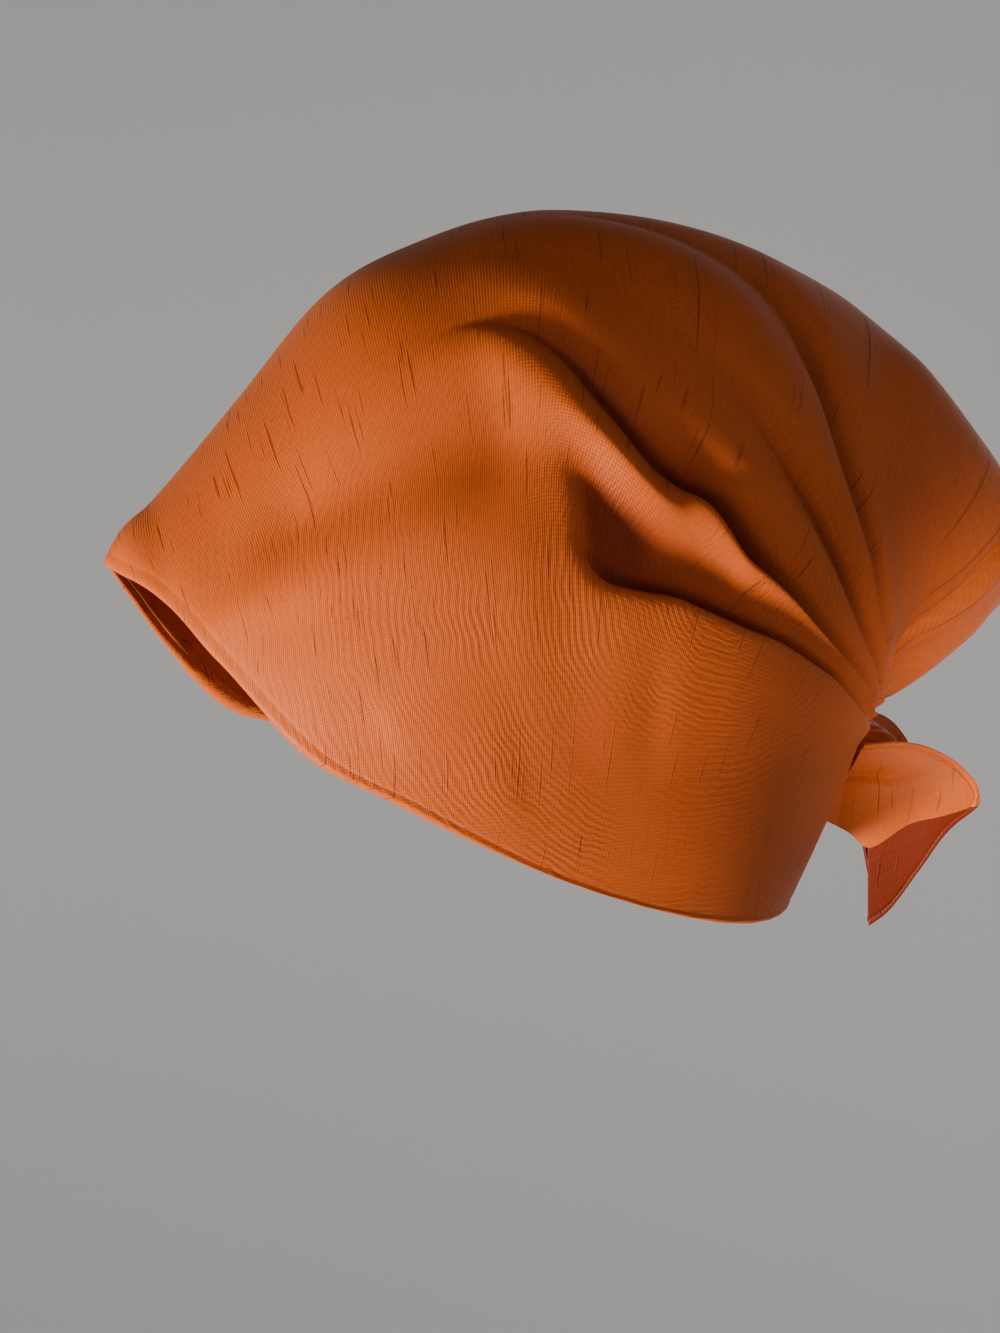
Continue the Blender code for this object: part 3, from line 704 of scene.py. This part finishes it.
def silk(name, colour, ripple_share=1.0, painted_shade_by=None, shade=PAINTED_FOLD_SHADE):
    """Slubbed silk: plain weave, short thick threads, and a rippled two-tone sheen, with painted shade
    where a shading attribute is given.
    """
    made = bpy.data.materials.new(name)
    made.use_nodes = True
    nodes, links = made.node_tree.nodes, made.node_tree.links
    shader = nodes["Principled BSDF"]
    shader.inputs["Roughness"].default_value = 0.5
    shader.inputs["Sheen Weight"].default_value = 0.08
    shader.inputs["Sheen Roughness"].default_value = 0.35
    shader.inputs["Sheen Tint"].default_value = (1.0, 0.36, 0.08, 1.0)
    shader.inputs["Specular IOR Level"].default_value = 0.15
    place = nodes.new("ShaderNodeTexCoord")
    weave = nodes.new("ShaderNodeUVMap")
    weave.uv_map = "Weave"
    split = nodes.new("ShaderNodeSeparateXYZ")
    links.new(weave.outputs["UV"], split.inputs[0])

    def math_node(kind, a, b=None):
        node = nodes.new("ShaderNodeMath")
        node.operation = kind
        for socket, value in zip(node.inputs, (a, b)):
            if value is None:
                continue
            if isinstance(value, (int, float)):
                socket.default_value = value
            else:
                links.new(value, socket)
        return node.outputs[0]

    def noise(scale, detail, vector):
        node = nodes.new("ShaderNodeTexNoise")
        node.inputs["Scale"].default_value = scale
        node.inputs["Detail"].default_value = detail
        links.new(vector, node.inputs["Vector"])
        return node.outputs["Fac"]

    def stretched(sx, sy):
        mapping = nodes.new("ShaderNodeMapping")
        mapping.inputs["Scale"].default_value = (sx, sy, 1.0)
        links.new(weave.outputs["UV"], mapping.inputs["Vector"])
        return mapping.outputs["Vector"]

    warp_thread = wave(nodes, links, split.outputs["X"], WARP_PITCH, "warp")
    weft_thread = wave(nodes, links, split.outputs["Y"], WEFT_PITCH, "weft")
    here = nodes.new("ShaderNodeSeparateXYZ")
    links.new(place.outputs["Object"], here.inputs[0])
    swirl = nodes.new("ShaderNodeCombineXYZ")
    links.new(math_node("ABSOLUTE", here.outputs["X"]), swirl.inputs["X"])
    links.new(here.outputs["Y"], swirl.inputs["Y"])
    links.new(here.outputs["Z"], swirl.inputs["Z"])
    away = nodes.new("ShaderNodeVectorMath")
    away.operation = "DISTANCE"
    links.new(swirl.outputs["Vector"], away.inputs[0])
    away.inputs[1].default_value = RIPPLE_CENTRE
    wander = noise(60.0, 1.0, place.outputs["Object"])
    length = math_node("ADD", away.outputs["Value"], math_node("MULTIPLY", wander, RIPPLE_WANDER))
    breaks = noise(1.0, 0.0, stretched(160.0, 18.0))
    length = math_node("ADD", length, math_node("MULTIPLY", breaks, RIPPLE_BREAKS))
    ripple = wave(nodes, links, length, RIPPLE_PITCH, "ripple")
    for axis, ends in (("Z", RIPPLE_LOW), ("Y", RIPPLE_BACK)):
        grows = nodes.new("ShaderNodeMapRange")
        for socket, value in zip(("From Min", "From Max", "To Min", "To Max"), ends):
            grows.inputs[socket].default_value = value
        links.new(here.outputs[axis], grows.inputs["Value"])
        ripple = math_node("MULTIPLY", ripple, grows.outputs["Result"])
    patchy = noise(34.0, 1.0, place.outputs["Object"])
    patchy = math_node("MULTIPLY", math_node("SUBTRACT", patchy, 0.30), 2.6)
    ripple = math_node("MULTIPLY", ripple, math_node("MAXIMUM", patchy, 0.0))

    slub = noise(1.0, 1.0, stretched(900.0, 42.0))
    slub_ramp = nodes.new("ShaderNodeValToRGB")
    for element, position in zip(slub_ramp.color_ramp.elements, SLUB_EDGES):
        element.position = position
    links.new(slub, slub_ramp.inputs["Fac"])
    tone = noise(28.0, 2.0, place.outputs["Object"])
    fibre = noise(1.0, 2.0, stretched(1500.0, 420.0))

    mix = nodes.new("ShaderNodeMix")
    mix.data_type = "RGBA"
    mix.inputs["A"].default_value = (*[c * DARK_THREAD for c in colour], 1.0)
    mix.inputs["B"].default_value = (*[min(1.0, c * LIGHT_THREAD) for c in colour], 1.0)
    level = math_node("ADD", math_node("MULTIPLY", ripple, 0.12 * ripple_share), THREAD_LEVEL)
    level = math_node("ADD", level, math_node("MULTIPLY", warp_thread, 0.10))
    level = math_node("ADD", level, math_node("MULTIPLY", math_node("SUBTRACT", tone, 0.5), 0.35))
    level = math_node("ADD", level, math_node("MULTIPLY", weft_thread, 0.07))
    level = math_node("ADD", level, math_node("MULTIPLY", math_node("SUBTRACT", fibre, 0.5), 0.7))
    links.new(level, mix.inputs["Factor"])
    dark = nodes.new("ShaderNodeMix")
    dark.data_type = "RGBA"
    dark.blend_type = "MULTIPLY"
    dark.inputs["B"].default_value = SLUB_SHADE
    links.new(mix.outputs["Result"], dark.inputs["A"])
    links.new(math_node("MULTIPLY", slub_ramp.outputs["Color"], SLUB_STRENGTH), dark.inputs["Factor"])
    shown = dark.outputs["Result"]
    # Painted shade: the attribute blends the colour towards the shade colour, standing in for shade in
    # folds and on turned-down flaps.
    if painted_shade_by:
        back = nodes.new("ShaderNodeAttribute")
        back.attribute_name = painted_shade_by
        painted_shade_mix = nodes.new("ShaderNodeMix")
        painted_shade_mix.data_type = "RGBA"
        painted_shade_mix.blend_type = "MULTIPLY"
        painted_shade_mix.inputs["B"].default_value = (*shade, 1.0)
        links.new(shown, painted_shade_mix.inputs["A"])
        links.new(back.outputs["Fac"], painted_shade_mix.inputs["Factor"])
        shown = painted_shade_mix.outputs["Result"]
    links.new(shown, shader.inputs["Base Color"])

    height = math_node("MULTIPLY", warp_thread, WARP_HEIGHT)
    height = math_node("ADD", height, math_node("MULTIPLY", weft_thread, WEFT_HEIGHT))
    height = math_node("ADD", height, math_node("MULTIPLY", ripple, RIPPLE_HEIGHT * ripple_share))
    height = math_node("ADD", height, math_node("MULTIPLY", slub_ramp.outputs["Color"], SLUB_HEIGHT))
    bump = nodes.new("ShaderNodeBump")
    bump.inputs["Distance"].default_value = 1.0
    bump.inputs["Strength"].default_value = 0.8
    links.new(height, bump.inputs["Height"])
    links.new(bump.outputs["Normal"], shader.inputs["Normal"])
    return made


SILK = (0.50, 0.090, 0.013)
# The crown's silk takes the painted fold shade from its attribute.
crown_silk = silk("crown silk", SILK, painted_shade_by="painted_fold_shade")
crown.data.materials.append(crown_silk)
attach(crown, "root")
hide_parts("crown")

# The front facing: the cloth's own edge, folded in along the face opening and pressed.
FACING_WIDTH = 18.0
FACING_WALL = 1.0
FACING_SET_BACK = 1.2
FACING_ROWS = 14
# Painted shade: the facing's silk is the crown's silk made darker, standing in for the shade inside the
# wrap.
INSIDE_SILK_PAINTED_SHADE = (0.42, 0.07, 0.012)

facing_threads = np.arange(0.0, COLUMNS_OVER + 0.1, 0.25)
facing_edge = edge_angle(facing_threads)
edge_run = np.linalg.norm(
    cloth(facing_edge, facing_threads) - cloth(facing_edge - NUDGE, facing_threads), axis=-1
)
facing_share = np.linspace(1.0, 0.0, FACING_ROWS)[:, None]
theta = facing_edge - (FACING_SET_BACK + (FACING_WIDTH - FACING_SET_BACK) * facing_share) * NUDGE / edge_run
threads = np.broadcast_to(facing_threads, theta.shape)


def inside_cloth(theta, thread, depth):
    """Points under the crown's outer face, at a depth measured square to the cloth."""
    phi = thread_angle(thread, theta)
    along = cloth(theta + NUDGE, thread) - cloth(theta - NUDGE, thread)
    across = cloth(theta, thread + NUDGE) - cloth(theta, thread - NUDGE)
    normal = np.cross(across, along)
    normal /= np.linalg.norm(normal, axis=-1, keepdims=True)
    facing = np.sum(normal * direction(theta, phi), axis=-1)
    slant = 1.0 / np.clip(facing, 1.0 / SLANT_LIMIT, 1.0)
    return cloth(theta, thread) - direction(theta, phi) * (depth * slant)[..., None]


facing_out = inside_cloth(theta, threads, WALL + GAP)
facing_in = inside_cloth(theta, threads, WALL + GAP + FACING_WALL)
rows, columns = facing_out.shape[:2]
points = np.concatenate([facing_out.reshape(-1, 3), facing_in.reshape(-1, 3)])
faces = grid_faces(rows, columns, closed=False)
under_start = rows * columns
faces += [tuple(under_start + i for i in face[::-1]) for face in faces]
border = (
    list(range(columns))[::-1]
    + list(range(0, under_start, columns))[1:]
    + list(range(under_start - columns, under_start))[1:]
    + list(range(columns - 1, under_start, columns))[::-1][1:]
)
for one, two in zip(border, border[1:]):
    faces.append((one, two, two + under_start, one + under_start))
u = np.broadcast_to(np.linspace(0.0, FACING_WIDTH, FACING_ROWS)[:, None], theta.shape)
v = threads * 10.0
facing_uv = np.stack([u + WEAVE_SLANT * v, v], axis=-1).reshape(-1, 2) * MM
facing = add_piece("front_facing_cloth", points, faces, np.concatenate([facing_uv, facing_uv]))
facing.data.materials.append(silk("facing silk painted darker", INSIDE_SILK_PAINTED_SHADE))
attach(facing, "root")
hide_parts("front_facing")

# The knot: the two tie ends crossed and drawn tight under the pouch, so the cloth is
# gathered round itself in a small hard lump.
KNOT_START = (0.0, 120.0, -65.5)
KNOT_SLOPE = math.radians(43.0)
KNOT = (
    # along, half_width, half_height
    (-4.0, 6.0, 6.0),
    (0.0, 7.4, 7.6),
    (3.5, 8.6, 8.2),
    (7.0, 11.2, 9.8),
    (11.0, 12.8, 11.2),
    (15.5, 12.0, 10.6),
    (19.0, 8.5, 7.6),
    (21.0, 4.0, 3.6),
)
KNOT_COLUMNS = 120
KNOT_ROWS = 70
WRAP_HEIGHT = 0.9
WRAP_TURNS = 2.0
WRAP_SLANT = 0.28
GATHER_HEIGHT = 0.45

along = np.linspace(KNOT[0][0], KNOT[-1][0], KNOT_ROWS)[:, None]
turn_at = np.arange(KNOT_COLUMNS)[None, :] * 2.0 * math.pi / KNOT_COLUMNS
half_width, half_height = (column(KNOT, along, k) for k in (1, 2))
bulge = fade(along / 6.0) * fade((KNOT[-1][0] - along) / 5.0)
wrap = WRAP_HEIGHT * bulge * np.cos(WRAP_TURNS * turn_at + WRAP_SLANT * along)
wrap = wrap + GATHER_HEIGHT * bulge * np.cos(7.0 * turn_at + 0.9 * np.sin(0.35 * along))
wrap = wrap + 0.5 * GATHER_HEIGHT * bulge * np.cos(15.0 * turn_at - 0.20 * along)
side = (half_width + wrap) * np.cos(turn_at)
rise = (half_height + wrap) * np.sin(turn_at)
points = np.array(KNOT_START) + np.stack(
    [
        side,
        along * math.cos(KNOT_SLOPE) + rise * math.sin(KNOT_SLOPE),
        rise * math.cos(KNOT_SLOPE) - along * math.sin(KNOT_SLOPE),
    ],
    axis=-1,
)
faces = grid_faces(KNOT_ROWS, KNOT_COLUMNS, closed=True)
faces.append(tuple(range(KNOT_COLUMNS)))
last = (KNOT_ROWS - 1) * KNOT_COLUMNS
faces.append(tuple(range(last, last + KNOT_COLUMNS))[::-1])
knot_uv = np.stack(
    np.broadcast_arrays(along, turn_at * 11.0), axis=-1
).reshape(-1, 2) * MM
knot = add_piece("knot_cloth", points, faces, knot_uv)
shape = bmesh.new()
shape.from_mesh(knot.data)
bmesh.ops.recalc_face_normals(shape, faces=shape.faces)
shape.to_mesh(knot.data)
shape.free()
knot.data.materials.append(silk("knot silk", SILK, 0.3))
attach(knot, "root")
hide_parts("knot")

# The two tails: the tie ends, each cut short, hemmed narrow, and turned down on itself.
TAIL_WALL = 1.2
TAIL_UPPER_EDGE = (
    # along, x, y, z
    (0.0, 13.6, 121.5, -67.0),
    (0.2, 14.2, 131.5, -67.0),
    (0.4, 15.0, 141.5, -68.2),
    (0.62, 15.5, 152.0, -72.4),
    (0.8, 15.2, 160.5, -78.2),
    (0.93, 14.0, 167.4, -85.5),
    (1.0, 12.5, 169.6, -91.0),
)
TAIL_BEND = (
    # along, x, y, z
    (0.0, 6.0, 111.0, -94.5),
    (0.2, 8.0, 120.5, -99.6),
    (0.35, 9.0, 127.5, -105.0),
    (0.6, 12.0, 142.1, -97.0),
    (0.82, 13.5, 155.0, -94.8),
    (1.0, 12.5, 169.2, -92.6),
)
TAIL_END = (
    # along, x, y, z
    (0.35, 2.0, 133.0, -136.0),
    (0.45, 3.5, 139.0, -131.5),
    (0.65, 8.0, 149.5, -115.0),
    (0.82, 11.0, 158.0, -101.5),
    (1.0, 12.5, 168.8, -93.4),
)
TAIL_COLUMNS = 121
UPPER_ROWS = 61
FLAP_ROWS = 61
TAIL_FULLNESS = 2.2
TAIL_ROOT_Y = 116.0
TAIL_REACH = 54.0
TAIL_FLARE = 22.0
TAIL_FLARE_WAY = (0.80, -0.555, 0.236)
TAIL_LENGTH = 52.0
HEM_WIDTH = 1.7
HEM_LIFT = 0.5
STITCH_DEPTH = 0.25
TUCK_DEPTH = 2.4
RIGHT_TAIL_BACK = 12.0
RIGHT_TAIL_RISE = 1.0
TAIL_RIPPLE = 0.3
# Painted shade: the colour that darkens the turned-down flap, standing in for the shade it lies in.
PAINTED_FLAP_SHADE = (0.28, 0.17, 0.22)


def line_at(table, along):
    """Points on one of the tail's lines."""
    return np.stack([column(table, along, k) for k in (1, 2, 3)], axis=-1)


def hem(from_border):
    """How far a tail's hem and its line of stitches stand off the cloth."""
    turned = HEM_LIFT * (1.0 - fade((from_border - HEM_WIDTH + 0.4) / 0.8))
    return turned - STITCH_DEPTH * np.exp(-(((from_border - HEM_WIDTH - 0.4) / 0.5) ** 2))


def make_tail(name, node, right):
    """One tie end: an upper part that leaves the knot, and a flap turned down."""
    along = np.linspace(0.0, 1.0, TAIL_COLUMNS)
    from_tip = (1.0 - along)[None, :] * TAIL_LENGTH
    upper, bend = line_at(TAIL_UPPER_EDGE, along), line_at(TAIL_BEND, along)
    down = np.linspace(0.0, 1.0, UPPER_ROWS)[:, None, None]
    part = upper + (bend - upper) * down
    part[..., 0] += TAIL_FULLNESS * np.sin(math.pi * down[..., 0]) * np.sin(math.pi * along)
    tuck = down[..., 0] - (0.42 - 0.30 * along)
    part[..., 0] -= TUCK_DEPTH * np.exp(-((tuck / 0.07) ** 2)) * fade(1.0 - along / 0.7)
    fall = np.linalg.norm(bend - upper, axis=-1) * down[..., 0]
    part[..., 0] += hem(np.minimum(fall, from_tip))
    first = int(np.searchsorted(along, TAIL_END[0][0]))
    turned = along[first:]
    drop = np.linspace(0.0, 1.0, FLAP_ROWS)[1:, None, None]
    hinge, end = line_at(TAIL_BEND, turned), line_at(TAIL_END, turned)
    flap = hinge + (end - hinge) * drop
    rise = np.linalg.norm(end - hinge, axis=-1) * (1.0 - drop[..., 0])
    flap[..., 0] += hem(np.minimum(rise, from_tip[:, first:])) * fade(drop[..., 0] * 8.0)
    flap[..., 0] += (part[-1, first:, 0] - hinge[:, 0]) * (1.0 - fade(drop[..., 0] * 8.0))
    points = np.concatenate([part.reshape(-1, 3), flap.reshape(-1, 3)])
    faces = grid_faces(UPPER_ROWS, TAIL_COLUMNS, closed=False)
    hinge_start = (UPPER_ROWS - 1) * TAIL_COLUMNS + first
    flap_start = UPPER_ROWS * TAIL_COLUMNS
    span = len(turned)
    above = list(range(hinge_start, hinge_start + span))
    for row in range(FLAP_ROWS - 1):
        below = list(range(flap_start + row * span, flap_start + (row + 1) * span))
        for c in range(span - 1):
            faces.append((above[c], above[c + 1], below[c + 1], below[c]))
        above = below
    flare = TAIL_FLARE * np.clip((points[:, 1] - TAIL_ROOT_Y) / TAIL_REACH, 0.0, 1.0)
    points = points + flare[:, None] * np.array(TAIL_FLARE_WAY)
    if right:
        points = points * np.array([-1.0, 1.0, 1.0])
        points = points + np.array([0.0, RIGHT_TAIL_BACK, RIGHT_TAIL_RISE])
    uv = np.stack([points[:, 1], points[:, 2]], axis=-1) * MM
    tail = add_piece(name, points, faces, uv)
    # Painted shade: the flap's points are marked for the darker colour, standing in for shade.
    painted_flap_shade = tail.data.attributes.new("turned", "FLOAT", "POINT")
    painted_flap_shade.data.foreach_set("value", (np.arange(len(points)) >= flap_start).astype(np.float32))
    solid = tail.modifiers.new("wall", "SOLIDIFY")
    solid.thickness = TAIL_WALL * MM
    solid.offset = 0.0
    solid.use_even_offset = False
    bpy.ops.object.select_all(action="DESELECT")
    bpy.context.view_layer.objects.active = tail
    tail.select_set(True)
    bpy.ops.object.modifier_apply(modifier="wall")
    tail.data.materials.append(silk(name + " silk", SILK, TAIL_RIPPLE, "turned", PAINTED_FLAP_SHADE))
    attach(tail, "root")
    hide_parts(node)


make_tail("tail_left_cloth", "tail_left", right=False)
make_tail("tail_right_cloth", "tail_right", right=True)
